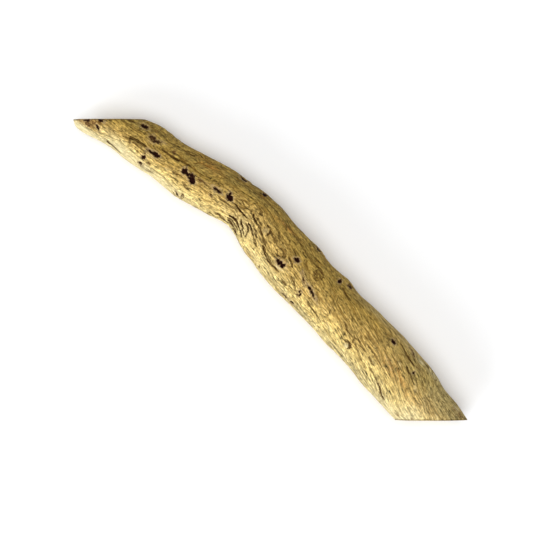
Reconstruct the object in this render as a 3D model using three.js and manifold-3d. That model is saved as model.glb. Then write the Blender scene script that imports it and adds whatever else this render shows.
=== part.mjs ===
// Marshmallow root: one length of dried, peeled root, cut on the slant at both ends.
// Millimetres, +Z up. X runs along the root towards its thicker end, and the root lies on Z = 0.
import * as THREE from "three";
import { mergeVertices } from "three/addons/utils/BufferGeometryUtils.js";
import Module from "manifold-3d";

const wasm = await Module();
wasm.setup();

// Plan outline, seen from above: along the root, then its two edges across.
// The first and last rows lie past the slanted cuts.
const OUTLINE = [
  { along: -86, right: -4.6, left: -3.2 },
  { along: -80, right: -7.6, left: -0.5 },
  { along: -76, right: -8.9, left: 2.0 },
  { along: -70, right: -7.6, left: 5.0 },
  { along: -64, right: -6.1, left: 7.4 },
  { along: -56, right: -5.4, left: 9.7 },
  { along: -48, right: -4.1, left: 10.8 },
  { along: -40, right: -3.3, left: 12.8 },
  { along: -32, right: -2.0, left: 15.0 },
  { along: -24, right: 0.2, left: 16.35 },
  { along: -20, right: 1.25, left: 16.9 },
  { along: -16, right: 0.5, left: 17.2 },
  { along: -12, right: -1.0, left: 17.05 },
  { along: -6, right: -2.1, left: 16.5 },
  { along: 4, right: -3.5, left: 15.8 },
  { along: 12, right: -3.9, left: 14.8 },
  { along: 20, right: -4.0, left: 14.2 },
  { along: 28, right: -4.9, left: 13.8 },
  { along: 40, right: -5.6, left: 13.9 },
  { along: 52, right: -7.1, left: 13.0 },
  { along: 60, right: -7.65, left: 12.0 },
  { along: 68, right: -8.0, left: 10.0 },
  { along: 76, right: -8.5, left: 8.8 },
  { along: 84, right: -9.0, left: 6.4 },
];

// Height of the underside above the table. Where it is below zero the root has dried flat against it.
const UNDERSIDE = [
  { along: -86, height: 4.2 },
  { along: -76, height: 1.4 },
  { along: -66, height: 0.15 },
  { along: -57, height: -0.22 },
  { along: -38, height: 0.7 },
  { along: -15, height: -0.25 },
  { along: 18, height: 0.9 },
  { along: 50, height: -0.35 },
  { along: 66, height: 0.1 },
  { along: 84, height: 1.2 },
];

// The root is a little flatter than it is wide.
const DEPTH_SHARE = 0.92;

// Low swells where side roots were trimmed off. Turn is degrees from the left edge, over the top.
const KNOBS = [
  { along: -38.5, turn: 180, height: 0.55, reach: 2.6 },
  { along: -56, turn: 4, height: 0.5, reach: 3.5 },
  { along: 7, turn: 5, height: 0.45, reach: 2.2 },
  { along: 20.5, turn: 8, height: 0.95, reach: 2.4 },
  { along: 34.7, turn: 118, height: 0.5, reach: 2.4 },
  { along: -46, turn: 250, height: 0.6, reach: 3.0 },
  { along: 62, turn: 312, height: 0.7, reach: 3.0 },
];

// Shallow lengthwise furrows that wind slowly round the root, fading out at its two edges.
const FURROWS = [
  { count: 3, turn_per_mm: 0.021, share: 0.022 },
  { count: 5, turn_per_mm: -0.033, share: 0.014 },
];

// Both ends are cut at this angle to X, where the cuts cross the line Y = 0.
const CUT_ANGLE = THREE.MathUtils.degToRad(43);
const THIN_END_CUT = -70.85;
const THICK_END_CUT = 70.4;

const STEPS_ALONG = 72;
const STEPS_AROUND = 32;
const CUTTER_SIZE = 120;

// Smooth curve through named columns of a table, read at any place along the root.
function curveThrough(table, columns) {
  const places = table.map((row) => row.along);
  const values = table.flatMap((row) => columns.map((column) => row[column]));
  const curve = new THREE.CubicInterpolant(places, values, columns.length);
  return (along) => Array.from(curve.evaluate(along));
}

const outlineAt = curveThrough(OUTLINE, ["right", "left"]);
const undersideAt = curveThrough(UNDERSIDE, ["height"]);

// How far the skin stands out at one place, as a share of the half width.
function furrowShare(along, angle) {
  const fade = Math.sin(angle) ** 2;
  const wave = (furrow) => furrow.share * Math.cos(furrow.count * angle + furrow.turn_per_mm * along);
  return fade * FURROWS.reduce((sum, furrow) => sum + wave(furrow), 0);
}

function knobHeight(along, angle, halfWidth) {
  const height = (knob) => {
    const turn = angle - THREE.MathUtils.degToRad(knob.turn);
    const around = halfWidth * Math.atan2(Math.sin(turn), Math.cos(turn));
    const distance = Math.hypot(along - knob.along, around) / knob.reach;
    return knob.height * Math.exp(-distance * distance);
  };
  return KNOBS.reduce((sum, knob) => sum + height(knob), 0);
}

// A straight capped cylinder, drawn out along the outline and swelled into the root.
function grownRoot() {
  const first = OUTLINE[0].along;
  const last = OUTLINE[OUTLINE.length - 1].along;
  const geometry = new THREE.CylinderGeometry(1, 1, 1, STEPS_AROUND, STEPS_ALONG);
  geometry.rotateZ(-Math.PI / 2);
  const position = geometry.getAttribute("position");
  for (let i = 0; i < position.count; i++) {
    const along = THREE.MathUtils.lerp(first, last, position.getX(i) + 0.5);
    const across = position.getY(i);
    const up = position.getZ(i);
    const [right, left] = outlineAt(along);
    const [underside] = undersideAt(along);
    const halfWidth = (left - right) / 2;
    const halfDepth = halfWidth * DEPTH_SHARE;
    const angle = Math.atan2(up, across);
    const swell = 1 + furrowShare(along, angle) + knobHeight(along, angle, halfWidth) / halfWidth;
    const y = (left + right) / 2 + across * halfWidth * swell;
    const z = underside + halfDepth + up * halfDepth * swell;
    position.setXYZ(i, along, y, z);
  }
  return geometry;
}

function solidOf(geometry) {
  const bare = geometry.clone();
  bare.deleteAttribute("normal");
  bare.deleteAttribute("uv");
  const merged = mergeVertices(bare);
  const vertProperties = new Float32Array(merged.getAttribute("position").array);
  const triVerts = new Uint32Array(merged.index.array);
  return new wasm.Manifold(new wasm.Mesh({ numProp: 3, vertProperties, triVerts }));
}

function geometryOf(solid) {
  const mesh = solid.getMesh();
  const geometry = new THREE.BufferGeometry();
  geometry.setAttribute("position", new THREE.BufferAttribute(mesh.vertProperties, 3));
  geometry.setIndex(new THREE.BufferAttribute(mesh.triVerts, 1));
  return geometry;
}

// A block whose inner face stands on the slanted cut that crosses Y = 0 at the given place.
// Side is -1 for what lies past the thin end and 1 for what lies past the thick end.
function endBlock(crossing, side) {
  const block = new THREE.BoxGeometry(CUTTER_SIZE, CUTTER_SIZE, CUTTER_SIZE);
  block.translate(0, (-side * CUTTER_SIZE) / 2, 0);
  block.rotateZ(CUT_ANGLE);
  block.translate(crossing, 0, 0);
  return solidOf(block);
}

// What lies below the table, taken off where the root has dried flat.
function tableBlock() {
  const block = new THREE.BoxGeometry(2 * CUTTER_SIZE, CUTTER_SIZE, CUTTER_SIZE);
  block.translate(0, 0, -CUTTER_SIZE / 2);
  return solidOf(block);
}

function cutRoot() {
  const solid = solidOf(grownRoot())
    .subtract(endBlock(THIN_END_CUT, -1))
    .subtract(endBlock(THICK_END_CUT, 1))
    .subtract(tableBlock());
  const geometry = geometryOf(solid);
  geometry.computeBoundingBox();
  const middle = geometry.boundingBox.getCenter(new THREE.Vector3());
  geometry.translate(-middle.x, -middle.y, 0);
  geometry.computeVertexNormals();
  return geometry;
}

const peeledRoot = new THREE.MeshStandardMaterial({ color: 0xd8bd7d, roughness: 0.82, metalness: 0 });
const root = new THREE.Mesh(cutRoot(), peeledRoot);
root.name = "marshmallow_root";

const part = new THREE.Group();
part.name = "marshmallow_root_part";
part.add(root);

export default part;
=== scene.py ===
# %% [markdown]
# # A length of dried marshmallow root
# The real thing is one piece: a root that was dug up, peeled, dried and cut on the slant at both ends.
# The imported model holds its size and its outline. This lesson grows the fine surface on that model: a
# tube of small faces is laid over the solid, then wrinkled, scarred and coloured as the dried root is.

# %% Load the fixed frame
import math
import random

import bmesh
import bpy
import numpy as np
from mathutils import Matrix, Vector, noise
from mathutils.bvhtree import BVHTree


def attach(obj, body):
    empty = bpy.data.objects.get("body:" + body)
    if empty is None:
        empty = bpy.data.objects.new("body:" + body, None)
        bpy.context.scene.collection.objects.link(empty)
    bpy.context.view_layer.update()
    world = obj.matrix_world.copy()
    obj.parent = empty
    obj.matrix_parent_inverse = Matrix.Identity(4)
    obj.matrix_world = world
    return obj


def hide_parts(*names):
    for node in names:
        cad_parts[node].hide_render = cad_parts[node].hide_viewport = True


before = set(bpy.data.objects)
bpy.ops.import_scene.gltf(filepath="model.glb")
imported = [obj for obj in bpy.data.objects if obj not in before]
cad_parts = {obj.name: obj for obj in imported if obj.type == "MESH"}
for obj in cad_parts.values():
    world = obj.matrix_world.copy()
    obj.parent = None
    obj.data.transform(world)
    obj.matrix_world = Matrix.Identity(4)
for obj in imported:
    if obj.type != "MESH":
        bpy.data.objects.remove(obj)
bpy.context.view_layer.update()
MM = 0.001

# %% [markdown]
# ## The solid, and where it was cut
# All modelling here is in millimetres, and the finished mesh is scaled to metres at the end. A merged
# copy of the solid can be sliced and hit by rays. Both ends were cut by a knife held at the same slant,
# so the two cut planes are simply the furthest the solid reaches along the knife's normal, either way.

# %% Copy the solid and find its cuts
CUT_ANGLE = math.radians(43)
CUT_TURN = CUT_ANGLE - math.pi / 2
CUT_NORMAL = Vector((math.sin(CUT_ANGLE), -math.cos(CUT_ANGLE), 0))
WELD_GAP = 1e-6

solid = bmesh.new()
solid.from_mesh(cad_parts["marshmallow_root"].data)
bmesh.ops.remove_doubles(solid, verts=solid.verts, dist=WELD_GAP)
bmesh.ops.scale(solid, vec=(1 / MM, 1 / MM, 1 / MM), verts=solid.verts)
tree = BVHTree.FromBMesh(solid)
reach = [v.co.dot(CUT_NORMAL) for v in solid.verts]
thin_cut, thick_cut = min(reach), max(reach)
print(f"{len(solid.verts)} corners; cuts at {thin_cut:.2f} and {thick_cut:.2f} mm along the normal")

# %% [markdown]
# ## The spine
# A root grows around a middle line. It could be drawn by hand as a curve, but slicing the solid with
# bisect_plane gives the line that the model really has: the middle of each slice is a point of the
# spine. At the ends a slice lies in the cut itself, and over the next stretch the slices swing round
# until they stand square to X.

# %% How to slice
SWING_LENGTH = 34.0
SLICE_GAP = 1e-5


def smooth_step(share):
    """Eases a share from 0 to 1, level at both ends."""
    return share * share * (3 - 2 * share)


def swing(share, length):
    """Angle of a slice's normal to X, in radians, at a share of the way from cut to cut."""
    from_end = min(share, 1 - share) * length
    return CUT_TURN * (1 - smooth_step(min(from_end / SWING_LENGTH, 1)))


def slice_at(point, angle):
    """Middle of a slice through the solid, and its half sizes across and up."""
    normal = Vector((math.cos(angle), math.sin(angle), 0))
    side = Vector((-normal.y, normal.x, 0))
    copy = solid.copy()
    geom = copy.verts[:] + copy.edges[:] + copy.faces[:]
    made = bmesh.ops.bisect_plane(copy, geom=geom, dist=SLICE_GAP, plane_co=point, plane_no=normal)
    corners = [c.co.copy() for c in made["geom_cut"] if isinstance(c, bmesh.types.BMVert)]
    copy.free()
    across = [c.dot(side) for c in corners]
    up = [c.z for c in corners]
    middle = point + side * ((min(across) + max(across)) / 2 - point.dot(side))
    middle.z = (min(up) + max(up)) / 2
    return middle, (max(across) - min(across)) / 2, (max(up) - min(up)) / 2


print(f"slices swing by {-math.degrees(CUT_TURN):.0f} degrees over {SWING_LENGTH:.0f} mm from each cut")

# %% Slice the solid
STATIONS = 41
CUT_MARGIN = 0.02

thin_end = slice_at(CUT_NORMAL * (thin_cut + CUT_MARGIN), CUT_TURN)[0]
thick_end = slice_at(CUT_NORMAL * (thick_cut - CUT_MARGIN), CUT_TURN)[0]
length = (thick_end - thin_end).length
shares = np.linspace(0, 1, STATIONS)
slices = [slice_at(thin_end.lerp(thick_end, s), swing(s, length)) for s in shares]
spine = np.array([[*middle, half_width, half_height] for middle, half_width, half_height in slices])
print(f"spine of {STATIONS} stations, {length:.1f} mm from cut to cut")

# %% [markdown]
# ## The skin's tube
# The skin could be the solid's own faces, cut finer, but those are uneven. An open cylinder, cut into
# many rings with subdivide_edges, gives even ones that run along the root. Points stand closer together
# over the top, a little towards -Y, which shows most, and rings stand closer together at the bend.

# %% Make the tube
AROUND = 184
RINGS = 490
TUBE_DEPTH = 1.0
TOP_CROWDING = 0.45
CROWDED_TURN = math.radians(28)
BEND_CROWDING = 0.05
BEND_SHARE = 0.44

skin = bmesh.new()
bmesh.ops.create_cone(skin, cap_ends=False, segments=AROUND, radius1=1, radius2=1, depth=TUBE_DEPTH)
long_edges = [e for e in skin.edges if abs(e.verts[0].co.z - e.verts[1].co.z) > TUBE_DEPTH / 2]
bmesh.ops.subdivide_edges(skin, edges=long_edges, cuts=RINGS - 2, use_grid_fill=True)
tube_share = np.array([v.co.z + TUBE_DEPTH / 2 for v in skin.verts])
from_bend = 2 * math.pi * (tube_share - BEND_SHARE)
tube_share -= BEND_CROWDING * (np.sin(from_bend) + math.sin(2 * math.pi * BEND_SHARE))
tube_turn = np.array([math.atan2(v.co.y, v.co.x) for v in skin.verts])
tube_turn += TOP_CROWDING * np.cos(tube_turn - CROWDED_TURN)
print(f"tube of {len(skin.verts)} points and {len(skin.faces)} faces")

# %% [markdown]
# Each ring now opens out from the spine until its points meet the solid. A few passes of smooth_vert
# take away the solid's flat facets and leave one even skin.

# %% Open the tube out to the solid
SMOOTH_PASSES = 14
SMOOTH_FACTOR = 0.5

spine_at = np.stack([np.interp(tube_share, shares, column) for column in spine.T], axis=1)
for vert, share, turn, row in zip(skin.verts, tube_share, tube_turn, spine_at):
    angle = swing(share, length)
    side = Vector((-math.sin(angle), math.cos(angle), 0))
    middle = Vector(row[:3])
    outward = side * (math.cos(turn) * row[3]) + Vector((0, 0, math.sin(turn) * row[4]))
    hit = tree.ray_cast(middle, outward.normalized())[0]
    vert.co = hit if hit else middle + outward
inner = [v for v in skin.verts if not v.is_boundary]
for _ in range(SMOOTH_PASSES):
    bmesh.ops.smooth_vert(
        skin, verts=inner, factor=SMOOTH_FACTOR, use_axis_x=True, use_axis_y=True, use_axis_z=True
    )
bmesh.ops.recalc_face_normals(skin, faces=skin.faces)
skin.normal_update()
place = np.array([v.co for v in skin.verts])
facing = np.array([v.normal for v in skin.verts])
at_x = place[:, 0]
faces_y = facing[:, 1]
faces_z = facing[:, 2]
print("skin reaches", place.min(0).round(2), "to", place.max(0).round(2), "mm")

# %% [markdown]
# ## Straightened places
# The grain of a root follows its length, round the bend and slowly twisting past it. So every point of
# the skin also gets a straightened place: how far along the spine it lies, and where it lies across.
# Noise stretched along this place makes fibres and wrinkles that follow the root, which noise in plain
# X, Y and Z couldn't. Over a stretch of the thick half the place runs slower, which draws its grain
# out longer.

# %% Straighten the skin
TWIST_START = -14.0
TWIST = math.radians(0.9)
END_TWIST_START = 28.0
END_TWIST = math.radians(0.8)
STRETCH_START, STRETCH_END = 25.0, 58.0
STRETCH = 0.25

steps = np.linalg.norm(np.diff(spine[:, :2], axis=0), axis=1)
spine_length = np.concatenate([[0], np.cumsum(steps)])
tangent = np.gradient(spine[:, :2], axis=0)
tangent /= np.linalg.norm(tangent, axis=1, keepdims=True)
ahead = np.stack([np.interp(tube_share, shares, tangent[:, axis]) for axis in (0, 1)], axis=1)
ahead /= np.linalg.norm(ahead, axis=1, keepdims=True)
offset = place - spine_at[:, :3]
along = np.interp(tube_share, shares, spine_length) + (offset[:, :2] * ahead).sum(1)
across = offset[:, 1] * ahead[:, 0] - offset[:, 0] * ahead[:, 1]
twist = TWIST * np.clip(at_x - TWIST_START, 0, None)
twist += END_TWIST * np.clip(at_x - END_TWIST_START, 0, None)
grain = np.stack(
    [
        along - STRETCH * (at_x.clip(STRETCH_START, STRETCH_END) - STRETCH_START),
        across * np.cos(twist) + offset[:, 2] * np.sin(twist),
        offset[:, 2] * np.cos(twist) - across * np.sin(twist),
    ],
    axis=1,
)
print(f"grain runs {along.min():.1f} to {along.max():.1f} mm along the spine")

# %% [markdown]
# ## Wrinkles
# Drying shrinks a root across its length, so its skin gathers into lengthwise wrinkles: round ridges
# with sharp valleys between them. They could be sculpted, but the absolute value of a smooth noise has
# just that shape, because it folds sharply where the noise crosses zero. First come the helpers.

# %% Noise along the grain
SLOPE_STEP = 0.1
LEAST_STEEPNESS = 0.35


def ease(start, end, values):
    """Smooth step from 0 at start to 1 at end, for arrays."""
    return smooth_step(((values - start) / (end - start)).clip(0, 1))


def bell(gap, reach):
    """A round hill: 1 where the gap is 0, and next to nothing at twice the reach."""
    return np.exp(-((gap / reach) ** 2))


def grain_noise(length_mm, width_mm, seed, where=grain):
    """Smooth noise between about -1 and 1, drawn out along the grain."""
    scaled = where / (length_mm, width_mm, width_mm) + seed
    return np.array([noise.noise(p) for p in scaled])


def sideways_noise(length_mm, width_mm, seeds):
    """Noise that pushes a place of the grain sideways, never along."""
    pushes = [grain_noise(length_mm, width_mm, seed) for seed in seeds]
    return np.stack([np.zeros(len(grain)), *pushes], axis=1)


def grain_lines(length_mm, width_mm, seed, where):
    """Noise, and how far each point is in mm from the lines along which that noise is zero."""
    value = grain_noise(length_mm, width_mm, seed, where)
    nudges = np.eye(3)[1:] * SLOPE_STEP
    beside = [grain_noise(length_mm, width_mm, seed, where + nudge) for nudge in nudges]
    steepness = np.hypot(*[(other - value) / SLOPE_STEP for other in beside])
    return value, value / np.maximum(steepness, LEAST_STEEPNESS / width_mm)


print("noise helpers ready")

# %% [markdown]
# Real wrinkles wander and ripple, so the grain is bent sideways before it is used. Long folds, short
# pleats, fine grains and slow lumps are added, each at its own size. The folds and pleats are deepest
# where the skin is most gathered, and less so towards the thick end.

# %% Wrinkle the skin
WANDER, RIPPLE = 0.7, 0.3
RIDGE_HEIGHT, RIDGE_CAP = 0.4, 0.5
GRAIN_HEIGHT = 0.09
LUMP_HEIGHT, LUMP_SIZE = 0.22, 7.0
FOLD_DEPTH, FOLD_REACH = 0.22, 0.38
PLEAT_DEPTH, PLEAT_REACH = 0.09, 0.24

wander = sideways_noise(9, 5, (3.1, 8.7))
ripple = sideways_noise(3.6, 3, (14.2, 19.6))
wavy = grain + WANDER * wander + RIPPLE * ripple
ridges, folds = grain_lines(17, 2.6, 11.3, wavy)
pleats = grain_lines(5.5, 1.15, 23.9, wavy)[1]
grains = grain_noise(1.9, 0.9, 41.7)
lumps = np.array([noise.noise(p / LUMP_SIZE) for p in place])
gather = ease(-0.2, 0.4, grain_noise(7, 2.0, 52.3)) * (1 - 0.5 * ease(28, 45, at_x))
fold_depth = FOLD_DEPTH * (0.3 + 0.7 * gather)
valleys = fold_depth * bell(folds, FOLD_REACH) + PLEAT_DEPTH * gather * bell(pleats, PLEAT_REACH)
height = RIDGE_HEIGHT * np.minimum(np.abs(ridges), RIDGE_CAP)
height = height + GRAIN_HEIGHT * grains + LUMP_HEIGHT * lumps - valleys
height -= height.mean()
print(f"wrinkles stand {height.min():.2f} to {height.max():.2f} mm off the smooth skin")

# %% [markdown]
# ## Marks placed as the camera sees them
# Scars, creases and stains belong at certain places of this root. They could be given as points in
# space, but a picture is easier to read: each has the X and Y where a ray from the camera's eye to the
# mark crosses a level plane at the root's middle height. Following that ray finds the mark's point on
# the solid, however steep the skin is there.

# %% The camera's eye
FRAME_WIDTH = 172.8
FRAME_MIDDLE = (0.15, -4.2)
MIDDLE_HEIGHT = 9.0
LENS = 300.0
SENSOR = 36.0
EYE = Vector((*FRAME_MIDDLE, MIDDLE_HEIGHT + FRAME_WIDTH * LENS / SENSOR))


def on_skin(x, y):
    """Point and normal of the solid where the camera sees a place, or the nearest to it if it misses."""
    aim = Vector((x, y, MIDDLE_HEIGHT))
    hit, normal = tree.ray_cast(EYE, aim - EYE)[:2]
    if hit is None:
        hit, normal = tree.find_nearest(aim)[:2]
    return hit, normal


print(f"the camera's eye is {EYE.z:.0f} mm above the table")

# %% [markdown]
# ## Scars of the side roots
# Thin side roots were trimmed off before drying. Each left a dark pit with a pale, slightly swollen
# rim. Strewing them all by chance would be quicker, but those that show make this root what it is, so
# they are placed one by one. A large scar is made of a few ovals.

# %% Where the scars are
# Each row: x, y, half length, half width, turn in degrees, depth, ink from 0 pale to 1 black.
SEEN_SCARS = [
    (-75.3, -9.1, 0.9, 0.3, 43, 0.2, 0.9),
    (-72.2, -6.2, 0.8, 0.4, 20, 0.25, 0.95),
    (-71.8, -6.9, 0.6, 0.35, 0, 0.15, 0.6),
    (-73.5, -8.2, 0.75, 0.55, 10, 0.22, 0.7),
    (-72.9, -9.3, 0.9, 0.45, 0, 0.15, 0.5),
    (-71.2, -8.45, 0.9, 0.32, -35, 0.3, 0.95),
    (-74.6, -9.7, 0.5, 0.6, 0, 0.22, 0.75),
    (-76.4, -10.9, 1.1, 0.4, 10, 0.15, 0.5),
    (-73.8, -9.9, 0.5, 0.3, 0, 0.2, 0.8),
    (-60.5, 2.1, 1.2, 0.6, 0, 0.35, 0.92),
    (-58.5, 3.4, 0.35, 0.22, 20, 0.12, 0.5),
    (-56.8, 3.5, 0.45, 0.25, 15, 0.15, 0.55),
    (-56.2, 1.05, 0.95, 0.72, 0, 0.3, 0.82),
    (-54.5, 1.0, 1.15, 0.34, 30, 0.28, 0.85),
    (-55.3, 0.35, 0.4, 0.3, 0, 0.25, 0.9),
    (-51.75, -2.15, 1.1, 0.62, 5, 0.5, 1.0),
    (-53.6, -2.6, 0.85, 0.32, 10, 0.35, 1.0),
    (-54.1, -5.35, 0.65, 0.5, -15, 0.35, 0.95),
    (-53.5, -7.5, 0.62, 0.28, -5, 0.25, 0.86),
    (-51.4, -5.6, 0.4, 0.3, 0, 0.15, 0.6),
    (-47.9, 2.4, 0.55, 0.35, -45, 0.18, 0.7),
    (-41.35, 0.25, 0.9, 0.75, 0, 0.5, 1.0),
    (-41.6, 1.0, 0.3, 0.35, 0, 0.3, 0.9),
    (-39.95, 0.2, 0.7, 0.45, -10, 0.5, 1.0),
    (-38.6, 0.85, 0.7, 0.42, 0, 0.5, 1.0),
    (-37.55, -0.2, 1.0, 0.82, -12, 0.55, 1.0),
    (-38.7, -0.1, 0.6, 0.4, 0, 0.4, 1.0),
    (-38.1, -6.35, 0.7, 0.2, -45, 0.35, 1.0),
    (-36.8, -5.5, 0.4, 0.2, -60, 0.15, 0.7),
    (-35.4, 1.65, 0.9, 0.28, 15, 0.2, 0.75),
    (-30.2, 2.95, 0.75, 0.32, 5, 0.35, 0.95),
    (-28.95, 3.1, 0.7, 0.3, 5, 0.35, 0.95),
    (-30.05, 0.5, 0.36, 0.28, -20, 0.25, 0.78),
    (-30.6, 1.2, 0.3, 0.25, 0, 0.12, 0.5),
    (-25.0, 3.9, 1.0, 0.75, 0, 0.55, 1.0),
    (-25.75, 4.95, 0.38, 0.36, 0, 0.35, 0.95),
    (-25.9, 11.4, 1.2, 0.28, 12, 0.3, 1.0),
    (-17.4, 12.25, 0.6, 0.5, 0, 0.3, 0.95),
    (-17.6, 11.2, 0.7, 0.25, 10, 0.15, 0.6),
    (1.25, -0.35, 1.25, 0.5, 0, 0.55, 1.0),
    (2.45, 0.05, 0.42, 0.42, 0, 0.4, 1.0),
    (0.05, -0.1, 0.45, 0.4, 0, 0.4, 1.0),
    (0.9, -0.75, 0.5, 0.32, 0, 0.4, 1.0),
    (2.05, -0.75, 0.4, 0.3, 0, 0.4, 1.0),
    (1.2, 0.2, 0.35, 0.3, 0, 0.4, 1.0),
    (4.5, 4.0, 0.66, 0.56, 5, 0.5, 1.0),
    (3.75, 3.9, 0.42, 0.36, 0, 0.4, 0.95),
    (9.9, 1.05, 0.85, 0.24, -35, 0.25, 0.85),
    (13.6, 0.2, 0.8, 0.32, -10, 0.4, 1.0),
    (15.2, -0.45, 1.2, 0.26, -22, 0.4, 1.0),
    (9.2, -6.95, 0.9, 0.12, -12, 0.2, 0.85),
    (12.4, -7.0, 0.45, 0.2, 20, 0.2, 0.95),
    (7.0, 11.35, 1.1, 0.26, -8, 0.25, 1.0),
    (11.85, -2.65, 0.42, 0.26, 0, 0.25, 0.88),
    (12.65, -3.4, 0.28, 0.55, 0, 0.25, 0.9),
    (12.2, -4.0, 0.4, 0.22, 10, 0.2, 0.82),
    (11.3, 4.8, 0.4, 0.28, 60, 0.12, 0.55),
    (12.9, 6.3, 0.5, 0.22, -10, 0.12, 0.55),
    (18.9, 8.6, 0.55, 0.45, 0, 0.35, 1.0),
    (22.6, 9.3, 0.55, 0.28, 35, 0.3, 0.92),
    (42.0, 6.4, 0.5, 0.3, 0, 0.12, 0.4),
    (44.65, 5.85, 0.55, 0.5, -10, 0.45, 1.0),
    (45.2, 5.6, 0.38, 0.3, -20, 0.35, 1.0),
    (44.1, 6.05, 0.35, 0.24, 10, 0.3, 0.9),
    (50.6, 7.9, 0.5, 0.12, 10, 0.2, 0.8),
    (51.7, 7.6, 0.5, 0.13, -40, 0.25, 0.95),
    (52.6, 7.2, 0.4, 0.12, -15, 0.2, 0.8),
    (56.25, 3.1, 0.34, 0.46, 0, 0.35, 1.0),
    (56.2, 5.0, 0.8, 0.11, -3, 0.15, 0.7),
    (61.6, -10.4, 0.5, 0.12, -20, 0.15, 0.7),
    (66.0, -7.9, 0.4, 0.18, 0, 0.15, 0.6),
    (73.8, 3.5, 0.6, 0.25, -10, 0.15, 0.55),
    (75.6, 3.5, 0.5, 0.14, -30, 0.15, 0.6),
    (76.3, 2.9, 0.5, 0.13, -30, 0.15, 0.65),
    (77.0, 3.3, 0.4, 0.13, 20, 0.15, 0.6),
]
seen = [(*on_skin(x, y), *rest) for x, y, *rest in SEEN_SCARS]
print(f"{len(seen)} scars on the side that shows")

# %% [markdown]
# The side that doesn't show carries scars of the same kinds. They are strewn by a seeded random choice
# of skin points that face down, so the root looks the same on every run.

# %% Strew scars on the underside
HIDDEN_SCARS = 34
DOWNWARD = -0.15
END_MARGIN = 0.05

random.seed(7)
inside_ends = [END_MARGIN < share < 1 - END_MARGIN for share in tube_share]
low = [i for i in range(len(place)) if faces_z[i] < DOWNWARD and inside_ends[i]]
hidden = []
for i in random.sample(low, HIDDEN_SCARS):
    half_length = random.uniform(0.4, 1.4)
    half_width = half_length * random.uniform(0.35, 0.8)
    shade = random.choice((0.5, 0.75, 0.95, 1.0))
    row = (half_length, half_width, random.uniform(-25, 25), 0.2 + 0.3 * shade * half_width, shade)
    hidden.append((Vector(place[i]), Vector(facing[i]), *row))
print(f"{len(hidden)} scars on the side that lies below")

# %% [markdown]
# Each scar is an oval with a ragged edge. The skin sinks inside it and swells into a rim outside it.
# Two fields note, for the colours, how far inside a scar each point lies and how dark that scar is. A
# scar on a slope is widened, so that it looks as wide from above as it was given.

# %% Press the scars into the skin
RAGGED_WAVES = 1.4
RAGGEDNESS = 0.4
OVAL_EDGE = 1.12
WIDEST_EDGE = 0.8
SCAR_SURROUND = 3.0
SAME_SIDE = 0.2
LEAST_SLANT = 0.35
PIT_TOP, PIT_FLOOR = 0.2, -0.3
RIM_PLACE, RIM_WIDTH, RIM_HEIGHT = 0.45, 0.42, 0.16


def skin_noise(waves_per_mm, shift):
    """Smooth noise between about -1 and 1, the same in every direction."""
    return np.array([noise.noise(p * waves_per_mm + Vector(shift)) for p in map(Vector, place)])


ragged = skin_noise(RAGGED_WAVES, (5, 0, 0))
scar = np.zeros(len(place))
ink = np.zeros(len(place))
for point, normal, half_length, half_width, turn, depth, shade in seen + hidden:
    lengthwise = Vector((math.cos(math.radians(turn)), math.sin(math.radians(turn)), 0))
    lengthwise = (lengthwise - normal * lengthwise.dot(normal)).normalized()
    sideways = normal.cross(lengthwise)
    if normal.z > 0:
        half_width /= max(sideways.xy.length, LEAST_SLANT)
    away = place - np.array(point)
    near = np.flatnonzero((away * away).sum(1) < (half_length + SCAR_SURROUND) ** 2)
    u = away[near] @ np.array(lengthwise) / half_length
    v = away[near] @ np.array(sideways) / half_width
    oval = np.hypot(u, v) * (1 + RAGGEDNESS * ragged[near])
    outside = (oval - OVAL_EDGE) * min(half_width, WIDEST_EDGE)
    same_side = facing[near] @ np.array(normal) > SAME_SIDE
    height[near] -= same_side * depth * ease(PIT_TOP, PIT_FLOOR, outside)
    height[near] += same_side * RIM_HEIGHT * shade * bell(outside - RIM_PLACE, RIM_WIDTH)
    closeness = same_side * (0.5 - outside / 2).clip(0, 1)
    ink[near] = np.where(closeness > scar[near], shade, ink[near])
    scar[near] = np.maximum(scar[near], closeness)
print(f"{(scar > 0.5).sum()} points lie inside a scar")

# %% [markdown]
# ## Creases, cracks and the folds of the bend
# Where the drying root bent, the skin on the inside was pressed into tight folds, and elsewhere it
# cracked along the grain. Noise can't put them where they are, so each is a short run of places as the
# camera sees them, with its half width, depth and ink.

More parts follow.
